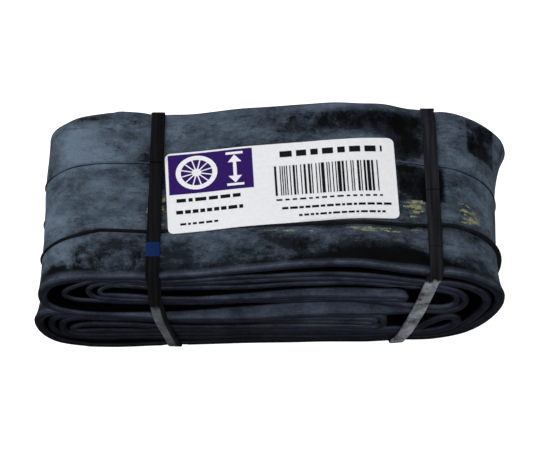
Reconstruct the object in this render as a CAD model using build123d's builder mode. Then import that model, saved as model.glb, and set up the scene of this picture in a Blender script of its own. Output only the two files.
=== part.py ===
from build123d import *
from math import asin, cos, hypot, radians, sin, tan
import os

os.makedirs("parts", exist_ok=True)

# ---------------------------------------------------------------- driving dimensions, mm
# A 24-inch inner tube, pressed flat, doubled and folded into a block.
# +X runs along the block, -Y is its front, +Z is up. The origin is under its middle.
WALL = 0.775                   # rubber wall
LAYER = 2 * WALL               # the tube pressed flat
PITCH = 1.65                   # from one layer to the next
HALF_DEPTH = 24.0              # half the flat width of the tube
HALF_LENGTH = 55.0

LIFT = 9.6                     # how far the valve lifts the layers above it
LIFT_RIGHT = 6.1               # what is left of that lift at the right-hand end
SLOPE_LEFT = radians(19)
SLOPE_RIGHT = radians(25)
# Left side of the lift, in the layer just above the valve
FOOT_LEFT = -21.5
FOOT_LEFT_RADIUS = 24.0
SHOULDER_LEFT_RADIUS = 6.0
# Right side of the lift, in run d, the lowest layer that comes down again
FOOT_RIGHT = 35.0
FOOT_RIGHT_RADIUS = 16.0
SHOULDER_RIGHT_RADIUS = 1.5

# Outer tips of the folds, named by the runs that they join. Runs a to h lie from top to bottom.
# "o" is the outer strand of the doubled tube and "i" is the inner one.
TIP_AD = {"o": -54.6, "i": -48.6}
TIP_BC = {"o": -43.0, "i": -40.5}
TIP_EH = {"o": -HALF_LENGTH, "i": -52.6}
TIP_FG = {"o": -47.7, "i": -49.9}
TIP_AH = HALF_LENGTH
TIP_BD = 43.5
TIP_EF = {"o": 27.3, "i": 25.6}
TIP_G = 44.6                   # hairpin that holds the valve
REACH_C = 2.4                  # the other hairpin, past the shoulder of the lift

# Bands and label
BAND_WIDTH = 3.1
BAND_THICK = 0.8
BAND_GROOVE = 0.05             # extra depth of the dent that a band presses in the underside
BANDS = {"band_left": (-27.0, -22.6), "band_right": (37.6, 29.1)}
LABEL_LENGTH = 53.6
LABEL_WIDTH = 24.0
LABEL_THICK = 0.15
LABEL_CORNER = 1.4
LABEL_X = 2.6
LABEL_TURN = 3.0

# Valve: its own axis runs from the pad, towards -X
STEM_R = 4.0
BORE_R = 3.25
AIR_R = 1.5
FIT = 0.06                     # radial running clearance of a turning piece
PAD_HALF_WIDTH = 12.0
PAD_GAP = 0.02
FLANGE_R = 4.3
RIM_NUT_R = 5.7
TOP_NUT_R = 4.9
CAP_R = 3.6
NIPPLE_R = 2.4
CORE_R = 1.7
CORE_AIR_R = 0.8
SLEEVE_R = 2.5
KNURLS = 24
KNURL_DEEP = 0.45
COLLAR_R = 5.4
SHOULDER_R = 3.9

# Stations along the valve, measured out of the pad
STEM_ROOT = -1.9
FLANGE_FACE = -0.9
COLLAR_TOP = 2.4
RIM_NUT = (3.2, 6.8)
BORE_START = 9.0
CORE_START = 11.0
CORE_AIR_START = 13.0
SLEEVE = (11.6, 21.6)
CORE_MID = 22.0
TOP_NUT = (22.0, 28.0)
STEM_MOUTH = 25.0
SHOULDER_TOP = 26.2
NUT_LIP = 26.3
NIPPLE_TOP = 31.6
CAP = (28.1, 32.6)

ROOM = 0.3                     # clearance round the valve in its pocket
MEET_GAP = 0.05                # half the gap between the two thick strands beside the valve
WEDGE_START = 3.0              # where those strands start to thicken, past the foot of the lift
JOIN = 0.01                    # overlap between the rings of one turned piece
PAST = 0.1                     # how far a bore runs past the end of its piece

# ---------------------------------------------------------------- layers
# Level 0 is the lowest layer. The valve lies between levels 2 and 3.
LEVEL = {
    "ho": 0, "hi": 1, "gi": 2,
    "go": 3, "fo": 4, "fi": 5, "ei": 6, "eo": 7, "do": 8, "di": 9, "co": 10, "ci": 11, "bi": 12, "bo": 13,
    "ai": 14, "ao": 15,
}
SHARP = 0.02                   # radius of a corner that isn't rounded
TOP_Z = PITCH * len(LEVEL) + LIFT


def low_z(strand):
    """Height of a strand's middle where nothing lifts it."""
    return WALL + PITCH * LEVEL[strand]


def above(strand, other):
    """Distance from one strand's layer up to another's."""
    return PITCH * (LEVEL[strand] - LEVEL[other])


def hump(strand):
    """The four corners of a lifted strand, from left to right, as (x, z, radius)."""
    z = low_z(strand)
    up = above(strand, "go")
    up_right = above(strand, "do")
    left = tan(SLOPE_LEFT / 2) * up
    right = tan(SLOPE_RIGHT / 2) * up_right
    shoulder_left = FOOT_LEFT + LIFT / tan(SLOPE_LEFT)
    shoulder_right = FOOT_RIGHT - (LIFT - LIFT_RIGHT) / tan(SLOPE_RIGHT)
    return [
        (FOOT_LEFT - left, z, FOOT_LEFT_RADIUS - up),
        (shoulder_left - left, z + LIFT, SHOULDER_LEFT_RADIUS + up),
        (shoulder_right + right, z + LIFT, SHOULDER_RIGHT_RADIUS + up_right),
        (FOOT_RIGHT + right, z + LIFT_RIGHT, FOOT_RIGHT_RADIUS - up_right),
    ]


def turn(tip, first, last, side):
    """A half-round fold as two square corners; tip is its outer face, side is -1 at the left."""
    radius = abs(last - first) / 2
    x = tip - side * WALL
    return [(x, first, radius), (x, last, radius)]


def right_z(strand):
    """Height of a lifted strand at the right-hand end."""
    return low_z(strand) + LIFT_RIGHT


def high_z(strand):
    """Height of a strand where it is lifted all the way."""
    return low_z(strand) + LIFT


def tube_path():
    """The middle line of the closed loop, as corners (x, z, radius)."""
    c_low = hump("co")[:3]
    c_high = hump("ci")[:3]
    step = (cos(SLOPE_RIGHT) * REACH_C, -sin(SLOPE_RIGHT) * REACH_C)
    hair = PITCH / 2
    c_tip_high = (c_high[2][0] + step[0], c_high[2][1] + step[1], hair)
    c_tip_low = (c_low[2][0] + step[0], c_low[2][1] + step[1], hair)
    path = []
    # outer strand, from the hairpin of run c to the hairpin of run g
    path += list(reversed(c_low))
    path += turn(TIP_BC["o"], low_z("co"), low_z("bo"), -1)
    path += hump("bo")
    path += turn(TIP_BD, right_z("bo"), right_z("do"), 1)
    path += list(reversed(hump("do")))
    path += turn(TIP_AD["o"], low_z("do"), low_z("ao"), -1)
    path += hump("ao")
    path += turn(TIP_AH, right_z("ao"), low_z("ho"), 1)
    path += turn(TIP_EH["o"], low_z("ho"), low_z("eo"), -1)
    path += hump("eo")[:2]
    path += turn(TIP_EF["o"], high_z("eo"), high_z("fo"), 1)
    path += list(reversed(hump("fo")[:2]))
    path += turn(TIP_FG["o"], low_z("fo"), low_z("go"), -1)
    path += hump("go")[:2]
    path += turn(TIP_G, high_z("go"), low_z("gi"), 1)
    # inner strand, back again
    path += turn(TIP_FG["i"], low_z("gi"), low_z("fi"), -1)
    path += hump("fi")[:2]
    path += turn(TIP_EF["i"], high_z("fi"), high_z("ei"), 1)
    path += list(reversed(hump("ei")[:2]))
    path += turn(TIP_EH["i"], low_z("ei"), low_z("hi"), -1)
    path += turn(TIP_AH - PITCH, low_z("hi"), right_z("ai"), 1)
    path += list(reversed(hump("ai")))
    path += turn(TIP_AD["i"], low_z("ai"), low_z("di"), -1)
    path += hump("di")
    path += turn(TIP_BD - PITCH, right_z("di"), right_z("bi"), 1)
    path += list(reversed(hump("bi")))
    path += turn(TIP_BC["i"], low_z("bi"), low_z("ci"), -1)
    path += c_high
    path += [c_tip_high, c_tip_low]
    return path


# ---------------------------------------------------------------- outlines with round corners
def unit(a, b):
    length = hypot(b[0] - a[0], b[1] - a[1])
    return ((b[0] - a[0]) / length, (b[1] - a[1]) / length)


def beside(corners, distance, closed):
    """The same outline moved to its left by distance; each radius changes with it."""
    moved = []
    count = len(corners)
    for k, (x, z, radius) in enumerate(corners):
        last = k if (k == 0 and not closed) else k - 1
        after = k if (k == count - 1 and not closed) else (k + 1) % count
        u = unit(corners[last], (x, z)) if last != k else unit((x, z), corners[after])
        v = unit((x, z), corners[after]) if after != k else u
        scale = distance / (1 + u[0] * v[0] + u[1] * v[1])
        bend = u[0] * v[1] - u[1] * v[0]
        if last == k or after == k:
            new_radius = radius
        elif bend > 0:
            new_radius = radius - distance
        else:
            new_radius = radius + distance
        moved.append((x - (u[1] + v[1]) * scale, z + (u[0] + v[0]) * scale, max(new_radius, SHARP)))
    return moved


def corner_arc(before, corner, after, radius):
    """Start, middle and end of the arc that rounds one corner."""
    u = unit(before, corner)
    v = unit(corner, after)
    dot = max(-1.0, min(1.0, u[0] * v[0] + u[1] * v[1]))
    half = ((1 - dot) / 2) ** 0.5
    tangent = radius * half / (1 - half ** 2) ** 0.5
    start = (corner[0] - u[0] * tangent, corner[1] - u[1] * tangent)
    end = (corner[0] + v[0] * tangent, corner[1] + v[1] * tangent)
    inward = unit((0, 0), (v[0] - u[0], v[1] - u[1]))
    to_arc = radius / cos(asin(half)) - radius
    middle = (corner[0] + inward[0] * to_arc, corner[1] + inward[1] * to_arc)
    return start, middle, end


def draw(corners, closed=True):
    """Lines and arcs through the corners, in the open BuildLine."""
    count = len(corners)
    pen = None
    first = None
    for k in range(count):
        if not closed and k in (0, count - 1):
            start = middle = end = corners[k][:2]
        else:
            start, middle, end = corner_arc(corners[k - 1], corners[k], corners[(k + 1) % count], corners[k][2])
        if pen is None:
            first = start
        elif hypot(start[0] - pen[0], start[1] - pen[1]) > 1e-5:
            Line(pen, start)
        else:
            start = pen
        if middle != start:
            ThreePointArc(start, middle, end)
        pen = end
    if closed and hypot(first[0] - pen[0], first[1] - pen[1]) > 1e-5:
        Line(pen, first)


def path_length(corners):
    """Length of a closed outline of lines and round corners."""
    total = 0.0
    count = len(corners)
    for k in range(count):
        before, here, after = corners[k - 1], corners[k], corners[(k + 1) % count]
        start, middle, end = corner_arc(before, here, after, here[2])
        total += hypot(after[0] - here[0], after[1] - here[1])
        tangent = hypot(start[0] - here[0], start[1] - here[1])
        u = unit(before, here)
        v = unit(here, after)
        angle = 2 * asin((max(0.0, 1 - u[0] * v[0] - u[1] * v[1]) / 2) ** 0.5)
        total += here[2] * angle - 2 * tangent
    return total


def top_skin(thick):
    """Closed outline of a sheet on the whole top layer, and its upper side alone."""
    lower = beside(top_strand(), WALL, closed=False)
    upper = beside(lower, thick, closed=False)
    return list(reversed(lower)) + upper, upper


def top_strand():
    """The top strand alone, with its level ends."""
    corners = hump("ao")
    start = (-HALF_LENGTH, corners[0][1], SHARP)
    end = (HALF_LENGTH, corners[-1][1], SHARP)
    return [start] + corners + [end]


def height_on(corners, x):
    """Height of a polyline at x."""
    for left, right in zip(corners, corners[1:]):
        if left[0] <= x <= right[0]:
            share = (x - left[0]) / (right[0] - left[0])
            return left[1] + share * (right[1] - left[1])
    return corners[-1][1]


# ---------------------------------------------------------------- the valve's place
VALVE_Z = (low_z("gi") + high_z("go")) / 2
HAIRPIN_R = (high_z("go") - low_z("gi")) / 2
PAD_X = TIP_G - WALL - HAIRPIN_R                 # flat face of the pad, where the stem comes out
VALVE_AXIS = Axis((PAD_X, 0, VALVE_Z), (1, 0, 0))


def along(distance):
    """X of a point on the valve, distance out of the pad."""
    return PAD_X - distance


def ring(start, end, outer, inner=0.0):
    """Half section of a ring round the valve axis, in the open BuildSketch."""
    low = VALVE_Z + inner
    high = VALVE_Z + outer
    Polygon((along(start), low), (along(start), high), (along(end), high), (along(end), low), align=None)


def knurl(start, end, radius):
    """Small notches round the edge of a nut, in the open BuildPart."""
    middle = Plane(origin=(along((start + end) / 2), 0, VALVE_Z), x_dir=(0, 1, 0), z_dir=(1, 0, 0))
    with Locations(middle.location):
        with PolarLocations(radius, KNURLS):
            Box(KNURL_DEEP, KNURL_DEEP, 2 * (end - start), rotation=(0, 0, 45), mode=Mode.SUBTRACT)


# ---------------------------------------------------------------- tube_body
loop = tube_path()
outside = beside(loop, WALL, closed=True)
inside = beside(loop, -WALL, closed=True)
print("length of the loop, mm:", round(path_length(loop), 1))

# The strands beside the valve aren't pressed flat. Each is thick there and they meet on a slanting line.
shoulder_x = hump("go")[1][0]
wedge_x = FOOT_LEFT + WEDGE_START
wedge_lift = tan(SLOPE_LEFT) * WEDGE_START
wedge_meet = (low_z("gi") + low_z("go") + wedge_lift) / 2
upper_fill = [
    (wedge_x, wedge_meet + MEET_GAP),
    (shoulder_x, VALVE_Z + MEET_GAP),
    (PAD_X, VALVE_Z + MEET_GAP),
    (PAD_X, high_z("go")),
    (shoulder_x + WALL, high_z("go")),
    (wedge_x, low_z("go") + wedge_lift),
]
lower_fill = [
    (wedge_x, wedge_meet - MEET_GAP),
    (shoulder_x, VALVE_Z - MEET_GAP),
    (PAD_X, VALVE_Z - MEET_GAP),
    (PAD_X, low_z("gi")),
    (wedge_x, low_z("gi")),
]

with BuildPart() as tube_body:
    with BuildSketch(Plane.XZ):
        with BuildLine():
            draw(outside)
        make_face()
        with BuildLine():
            draw(inside)
        make_face(mode=Mode.SUBTRACT)
        Polygon(*upper_fill, align=None)
        Polygon(*lower_fill, align=None)
    extrude(amount=HALF_DEPTH, both=True)
    # room for the valve
    with BuildSketch(Plane.XZ):
        ring(-JOIN, RIM_NUT[1] + ROOM, RIM_NUT_R + ROOM)
        ring(RIM_NUT[1], TOP_NUT[0], STEM_R + ROOM)
        ring(TOP_NUT[0] - ROOM, TOP_NUT[1], TOP_NUT_R + ROOM)
        ring(TOP_NUT[1] - JOIN, CAP[1] + ROOM, CAP_R + ROOM)
    revolve(axis=VALVE_AXIS, mode=Mode.SUBTRACT)
    # dents of the bands in the underside
    for _, low_x in BANDS.values():
        with BuildSketch(Plane.XZ):
            with Locations((low_x, 0)):
                Rectangle(BAND_WIDTH + 2 * BAND_GROOVE, 2 * (BAND_THICK + BAND_GROOVE))
        extrude(amount=HALF_DEPTH + 1, both=True, mode=Mode.SUBTRACT)
tube_body.part.label = "tube_body"
export_step(tube_body.part, "parts/tube_body.step")

# ---------------------------------------------------------------- valve_base_pad
with BuildPart() as valve_base_pad:
    with BuildSketch(Plane.XZ):
        with BuildLine():
            pad_r = HAIRPIN_R - WALL - PAD_GAP
            ThreePointArc((PAD_X, VALVE_Z - pad_r), (PAD_X + pad_r, VALVE_Z), (PAD_X, VALVE_Z + pad_r))
            Line((PAD_X, VALVE_Z + pad_r), (PAD_X, VALVE_Z - pad_r))
        make_face()
    extrude(amount=PAD_HALF_WIDTH, both=True)
    with BuildSketch(Plane.XZ):
        ring(0, COLLAR_TOP, COLLAR_R)
    revolve(axis=VALVE_AXIS)
    with BuildSketch(Plane.XZ):
        ring(-HAIRPIN_R, STEM_ROOT + JOIN, AIR_R)
        ring(STEM_ROOT, FLANGE_FACE, FLANGE_R)
        ring(FLANGE_FACE - JOIN, COLLAR_TOP + JOIN, STEM_R)
    revolve(axis=VALVE_AXIS, mode=Mode.SUBTRACT)
valve_base_pad.part.label = "valve_base_pad"
export_step(valve_base_pad.part, "parts/valve_base_pad.step")

# ---------------------------------------------------------------- valve_stem
with BuildPart() as valve_stem:
    with BuildSketch(Plane.XZ):
        ring(STEM_ROOT, FLANGE_FACE, FLANGE_R)
        ring(FLANGE_FACE - JOIN, STEM_MOUTH, STEM_R)
    revolve(axis=VALVE_AXIS)
    with BuildSketch(Plane.XZ):
        ring(STEM_ROOT - PAST, BORE_START + JOIN, AIR_R)
        ring(BORE_START, STEM_MOUTH + PAST, BORE_R)
    revolve(axis=VALVE_AXIS, mode=Mode.SUBTRACT)
valve_stem.part.label = "valve_stem"
export_step(valve_stem.part, "parts/valve_stem.step")

# ---------------------------------------------------------------- rim_nut
with BuildPart() as rim_nut:
    with BuildSketch(Plane.XZ):
        ring(*RIM_NUT, RIM_NUT_R, STEM_R + FIT)
    revolve(axis=VALVE_AXIS)
    knurl(*RIM_NUT, RIM_NUT_R)
rim_nut.part.label = "rim_nut"
export_step(rim_nut.part, "parts/rim_nut.step")

# ---------------------------------------------------------------- plunger
with BuildPart() as plunger:
    with BuildSketch(Plane.XZ):
        ring(CORE_START, CORE_MID + JOIN, CORE_R)
        ring(CORE_MID, STEM_MOUTH, BORE_R - FIT)
        ring(STEM_MOUTH, SHOULDER_TOP, SHOULDER_R)
        ring(SHOULDER_TOP - JOIN, NIPPLE_TOP, NIPPLE_R)
    revolve(axis=VALVE_AXIS)
    with BuildSketch(Plane.XZ):
        ring(CORE_AIR_START, NIPPLE_TOP + PAST, CORE_AIR_R)
    revolve(axis=VALVE_AXIS, mode=Mode.SUBTRACT)
plunger.part.label = "plunger"
export_step(plunger.part, "parts/plunger.step")

# ---------------------------------------------------------------- valve_rubber
with BuildPart() as valve_rubber:
    with BuildSketch(Plane.XZ):
        ring(*SLEEVE, SLEEVE_R, CORE_R)
    revolve(axis=VALVE_AXIS)
valve_rubber.part.label = "valve_rubber"
export_step(valve_rubber.part, "parts/valve_rubber.step")

# ---------------------------------------------------------------- top_nut
with BuildPart() as top_nut:
    with BuildSketch(Plane.XZ):
        ring(TOP_NUT[0], NUT_LIP + JOIN, TOP_NUT_R, STEM_R + FIT)
        ring(NUT_LIP, TOP_NUT[1], TOP_NUT_R, NIPPLE_R + FIT)
    revolve(axis=VALVE_AXIS)
    knurl(*TOP_NUT, TOP_NUT_R)
top_nut.part.label = "top_nut"
export_step(top_nut.part, "parts/top_nut.step")

# ---------------------------------------------------------------- dust_cap
with BuildPart() as dust_cap:
    with BuildSketch(Plane.XZ):
        ring(CAP[0], NIPPLE_TOP + PAST, CAP_R, NIPPLE_R + FIT)
        ring(NIPPLE_TOP + PAST - JOIN, CAP[1], CAP_R)
    revolve(axis=VALVE_AXIS)
    knurl(*CAP, CAP_R)
dust_cap.part.label = "dust_cap"
export_step(dust_cap.part, "parts/dust_cap.step")


# ---------------------------------------------------------------- band_left, band_right
band_skin, band_upper = top_skin(BAND_THICK)
half = BAND_WIDTH / 2
for name, (top_x, low_x) in BANDS.items():
    down = [
        (top_x - half, height_on(band_upper, top_x - half)),
        (top_x + half, height_on(band_upper, top_x + half)),
        (low_x + half, 0),
        (low_x - half, 0),
    ]
    with BuildPart() as band:
        # over the top
        with BuildSketch(Plane.XZ):
            with BuildLine():
                draw(band_skin)
            make_face()
            with Locations((top_x, TOP_Z)):
                Rectangle(BAND_WIDTH, TOP_Z, mode=Mode.INTERSECT)
        extrude(amount=HALF_DEPTH + BAND_THICK, both=True)
        # down the front and the back
        with BuildSketch(Plane.XZ.offset(HALF_DEPTH), Plane.XZ.offset(-HALF_DEPTH - BAND_THICK)):
            Polygon(*down, align=None)
        extrude(amount=BAND_THICK)
        # underneath
        with BuildSketch(Plane.XZ):
            with Locations((low_x, BAND_THICK / 2)):
                Rectangle(BAND_WIDTH, BAND_THICK)
        extrude(amount=HALF_DEPTH + BAND_THICK, both=True)
    band.part.label = name
    export_step(band.part, f"parts/{name}.step")

# ---------------------------------------------------------------- size_label
with BuildPart() as size_label:
    with BuildSketch(Plane.XZ):
        with BuildLine():
            draw(top_skin(LABEL_THICK)[0])
        make_face()
    extrude(amount=HALF_DEPTH, both=True)
    with BuildSketch(Plane.XY):
        with Locations((LABEL_X, 0)):
            RectangleRounded(LABEL_LENGTH, LABEL_WIDTH, LABEL_CORNER, rotation=LABEL_TURN)
    extrude(amount=2 * TOP_Z, mode=Mode.INTERSECT)
size_label.part.label = "size_label"
export_step(size_label.part, "parts/size_label.step")
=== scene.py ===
import math
import random

import bpy
import numpy as np
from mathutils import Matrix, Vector, noise
from mathutils.bvhtree import BVHTree


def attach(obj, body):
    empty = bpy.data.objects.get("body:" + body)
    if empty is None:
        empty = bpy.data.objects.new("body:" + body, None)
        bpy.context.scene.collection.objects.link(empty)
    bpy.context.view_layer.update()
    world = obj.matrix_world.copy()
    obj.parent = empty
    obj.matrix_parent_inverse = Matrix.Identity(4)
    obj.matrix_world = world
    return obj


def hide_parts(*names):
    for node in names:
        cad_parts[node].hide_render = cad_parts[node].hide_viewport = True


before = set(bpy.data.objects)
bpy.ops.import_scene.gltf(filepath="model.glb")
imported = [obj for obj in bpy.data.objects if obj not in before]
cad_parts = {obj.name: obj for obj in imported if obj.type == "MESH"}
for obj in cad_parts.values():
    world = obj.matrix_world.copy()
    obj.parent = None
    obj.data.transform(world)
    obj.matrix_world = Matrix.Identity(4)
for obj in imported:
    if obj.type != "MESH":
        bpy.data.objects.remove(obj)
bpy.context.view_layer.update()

MM = 0.001
random.seed(24)

# ---- the folded tube, in mm
# The loop is a doubled tube. Its strands lie in sixteen layers, named from top to bottom.
ORDER = "ao ai bo bi ci co di do eo ei fi fo go gi hi ho".split()
TOP_LEVEL = len(ORDER) - 1
LEVEL = {name: TOP_LEVEL - k for k, name in enumerate(ORDER)}
LAST_UNDER = 2                 # the highest level that passes under the valve
STATIONS = (-38, -22, -5, 8, 20, 36)

# Front rims: height of each rim's middle, and how far it stands out from the block's middle
FRONT_Z = {
    "ao": (28.4, 28.6, 31.1, 33.1, 33.4, 30.7),
    "ai": (26.6, 26.9, 29.2, 31.1, 31.4, 28.7),
    "bo": (24.9, 25.2, 27.4, 29.2, 29.5, 26.7),
    "bi": (23.2, 23.5, 25.5, 27.3, 27.6, 24.6),
    "ci": (21.0, 21.4, 23.4, 25.1, 25.4, 24.5),
    "co": (19.2, 19.7, 21.6, 23.1, 23.4, 22.5),
    "di": (17.5, 18.0, 19.9, 21.3, 21.6, 18.9),
    "do": (15.4, 15.9, 17.8, 19.2, 19.5, 17.0),
    "eo": (13.7, 14.2, 15.8, 17.0, 17.3, 17.0),
    "ei": (12.1, 12.5, 14.0, 15.0, 15.3, 15.0),
    "fi": (10.5, 10.9, 12.2, 13.0, 13.3, 13.0),
    "fo": (8.6, 9.0, 10.2, 10.9, 11.1, 10.9),
    "go": (6.2, 6.7, 7.5, 8.2, 8.5, 9.5),
    "gi": (4.4, 4.6, 5.1, 5.5, 5.7, 6.8),
    "hi": (2.6, 2.7, 2.9, 3.0, 3.2, 4.4),
    "ho": (0.95, 0.95, 0.95, 0.95, 1.0, 2.6),
}
FRONT_Y = {
    "ao": (23.6, 23.4, 23.2, 23.2, 23.3, 23.4),
    "ai": (22.9, 23.3, 23.6, 24.3, 24.6, 24.4),
    "bo": (22.3, 22.9, 23.6, 24.2, 24.5, 24.0),
    "bi": (21.9, 22.9, 23.8, 24.2, 24.4, 23.6),
    "ci": (23.2, 24.4, 25.6, 26.2, 26.5, 26.0),
    "co": (23.1, 24.0, 24.9, 25.5, 25.8, 25.5),
    "di": (22.6, 23.4, 24.1, 24.7, 25.0, 25.2),
    "do": (24.9, 26.2, 27.5, 27.3, 27.4, 25.0),
    "eo": (24.1, 25.2, 26.4, 26.3, 26.4, 26.0),
    "ei": (23.3, 24.4, 25.5, 25.8, 26.1, 26.0),
    "fi": (22.6, 23.6, 24.5, 25.3, 25.8, 25.6),
    "fo": (23.1, 24.1, 25.0, 25.3, 25.5, 25.3),
    "go": (23.3, 23.7, 24.1, 24.4, 24.6, 24.6),
    "gi": (23.2, 23.2, 23.2, 23.4, 23.6, 24.0),
    "hi": (22.9, 22.9, 22.9, 22.9, 22.9, 22.9),
    "ho": (23.8, 23.2, 22.7, 22.5, 22.3, 22.8),
}
# Middle and back of the top layer, and the layers next to the valve
TOP_MID = (28.9, 29.3, 30.9, 31.6, 32.1, 31.0)
TOP_BACK = (29.4, 27.7, 30.2, 31.7, 32.5, 29.0)
OVER_VALVE = (6.4, 6.4, 11.0, 14.7, 15.2, 11.5)
UNDER_VALVE = (4.5, 4.5, 4.2, 4.06, 4.06, 4.06)
LOWEST_MID, LOWEST_BACK = 0.8, 0.9     # middle and back of the lowest layer
HALF_SHEET = 0.69              # half thickness of the flat part of the tube
HALF_DEPTH = 24.0              # half the block's depth

# Folds, in their order along the loop. Each starts on the strand where the one before it ended, and
# "end" is the strand that it leads to. "front" holds the points (x, z) of its front rim, and "mid" and
# "back" are (end x of both legs, x of the tip).
FOLDS = {
    "C": dict(end="co", half=0.95, mid=(26, 28.5), back=(25, 27.5),
        front=[(25, 25.2), (29.3, 25.1), (31.0, 24.2), (29.3, 23.3), (25, 23.2)]),
    "BC_o": dict(end="bo", half=0.8, mid=(-36, -42.0), back=(-36, -41.0),
        front=[(-36, 19.2), (-39.4, 19.7), (-41.6, 20.9), (-42.3, 22.9), (-41.2, 24.4), (-38.5, 24.9),
            (-36, 25.0)]),
    "BD_o": dict(end="do", half=0.95, mid=(36, 42.6), back=(35, 42.6),
        front=[(35.5, 26.7), (39.8, 25.8), (43.2, 24.6), (45.0, 21.9), (44.3, 18.9), (41.2, 16.9),
            (36.5, 16.9)]),
    "AD_o": dict(end="ao", half=1.15, mid=(-44, -52.4), back=(-43, -51.3),
        front=[(-40, 15.5), (-44.5, 15.9), (-49.0, 17.1), (-52.0, 19.2), (-52.9, 22.2), (-51.9, 25.3),
            (-49.4, 27.3), (-45, 28.2), (-40, 28.4)]),
    "AH_o": dict(end="ho", half=1.35, mid=(38, 52.3), back=(38, 54.9),
        front=[(38, 30.3), (42, 29.5), (46, 28.1), (49.6, 25.8), (52.3, 22.8), (53.1, 19.2), (52.3, 15.5),
            (50.3, 11.5), (47.3, 7.8), (43.6, 5.0), (38, 2.9)]),
    "EH_o": dict(end="eo", half=1.2, mid=(-44, -53.4), back=(-43, -52.6),
        front=[(-44, 1.3), (-49.4, 3.1), (-52.5, 6.0), (-53.9, 9.3), (-54.1, 11.8), (-52.8, 14.2),
            (-49.6, 15.0), (-44.5, 14.3)]),
    "EF_o": dict(end="fo", half=0.8, mid=(21, 26.5), back=(20, 25.5),
        front=[(22, 17.2), (24.8, 16.8), (26.4, 14.1), (24.8, 11.4), (22, 11.0)]),
    "FG_o": dict(end="go", half=0.85, mid=(-43, -46.0), back=(-42, -45.2),
        front=[(-41.0, 8.7), (-44.6, 8.7), (-46.5, 7.6), (-45.4, 6.4), (-41.5, 6.1)]),
    "G": dict(end="gi", half=1.3, mid=(38.2, 43.8), back=(36, 43.0),
        front=[(33.9, 9.3), (36.6, 11.4), (39.4, 13.4), (41.8, 14.0), (43.3, 12.6), (42.5, 10.0),
            (39.5, 8.0), (35, 6.8)]),
    "FG_i": dict(end="fi", half=1.0, mid=(-43, -48.0), back=(-42, -47.3),
        front=[(-42, 4.4), (-46.5, 5.0), (-48.4, 6.5), (-48.9, 8.7), (-47.7, 10.4), (-44, 10.7)]),
    "EF_i": dict(end="ei", half=0.85, mid=(20, 24.6), back=(19, 23.8),
        front=[(20.5, 13.3), (23.2, 13.3), (24.3, 14.2), (23.2, 15.2), (20.5, 15.3)]),
    "EH_i": dict(end="hi", half=1.05, mid=(-43, -50.8), back=(-42, -50.0),
        front=[(-43.5, 12.4), (-47.8, 12.8), (-50.8, 11.4), (-51.5, 9.0), (-50.7, 6.2), (-48.5, 4.3),
            (-44, 3.0)]),
    "AH_i": dict(end="ai", half=1.2, mid=(38, 50.6), back=(38, 53.1),
        front=[(37, 4.6), (41.2, 6.0), (44.4, 8.6), (47.3, 12.2), (49.4, 16.2), (50.2, 19.6), (49.0, 23.0),
            (45.6, 25.8), (41.5, 27.4), (37.5, 28.3)]),
    "AD_i": dict(end="di", half=0.75, mid=(-41, -47.6), back=(-41, -47.0),
        front=[(-39.5, 26.6), (-42.6, 25.8), (-45.4, 24.4), (-47.4, 22.8), (-48.0, 21.2), (-46.9, 19.5),
            (-44.4, 18.4), (-40, 17.7)]),
    "BD_i": dict(end="bi", half=0.9, mid=(36, 41.0), back=(35, 41.0),
        front=[(35.5, 18.8), (39.6, 18.6), (42.4, 19.7), (43.2, 21.8), (42.0, 23.6), (39.4, 24.1),
            (35.5, 24.5)]),
    "BC_i": dict(end="ci", half=0.7, mid=(-36, -39.5), back=(-36, -38.8),
        front=[(-36, 23.2), (-38.7, 23.1), (-39.7, 22.2), (-38.9, 21.2), (-36, 21.0)]),
}
ROUTE = list(FOLDS)
for k, name in enumerate(ROUTE):
    FOLDS[name]["start"] = FOLDS[ROUTE[k - 1]]["end"]


def curve_at(values, x):
    """Smooth curve through values at the stations."""
    xs = STATIONS
    if x <= xs[0]:
        return values[0]
    if x >= xs[-1]:
        return values[-1]
    k = max(i for i in range(len(xs) - 1) if xs[i] <= x)

    def slope(i):
        lo, hi = max(i - 1, 0), min(i + 1, len(xs) - 1)
        return 0.0 if lo == i or hi == i else (values[hi] - values[lo]) / (xs[hi] - xs[lo])

    w = xs[k + 1] - xs[k]
    t = (x - xs[k]) / w
    t2, t3 = t * t, t * t * t
    return ((2 * t3 - 3 * t2 + 1) * values[k] + (t3 - 2 * t2 + t) * w * slope(k)
            + (3 * t2 - 2 * t3) * values[k + 1] + (t3 - t2) * w * slope(k + 1))


def height(strand, x, where):
    """Height of a strand's middle at its front rim, its middle line or its back rim."""
    level = LEVEL[strand]
    if where == "front":
        return curve_at(FRONT_Z[strand], x)
    if where == "mid":
        under = curve_at(UNDER_VALVE, x)
        if level <= LAST_UNDER:
            return LOWEST_MID + (under - LOWEST_MID) * level / LAST_UNDER
        over = curve_at(OVER_VALVE, x)
        first_over = LAST_UNDER + 1
        return over + (curve_at(TOP_MID, x) - over) * (level - first_over) / (TOP_LEVEL - first_over)
    share = (curve_at(FRONT_Z[strand], x) - LOWEST_BACK) / (curve_at(FRONT_Z["ao"], x) - LOWEST_BACK)
    hump = 1.4 * math.exp(-((x - 28) / 4.5) ** 2)
    return LOWEST_BACK + share * (curve_at(TOP_BACK, x) + hump - LOWEST_BACK)


THINNEST_RIM, THICKEST_RIM = 0.68, 1.05


def rim_half(strand, x):
    """Half thickness of a strand's rim: it fills most of its share of the stack."""
    level = LEVEL[strand]
    names = ORDER[::-1]
    below, above = max(level - 1, 0), min(level + 1, TOP_LEVEL)
    room = curve_at(FRONT_Z[names[above]], x) - curve_at(FRONT_Z[names[below]], x)
    return min(THICKEST_RIM, max(THINNEST_RIM, 0.46 * room / (above - below)))


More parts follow.
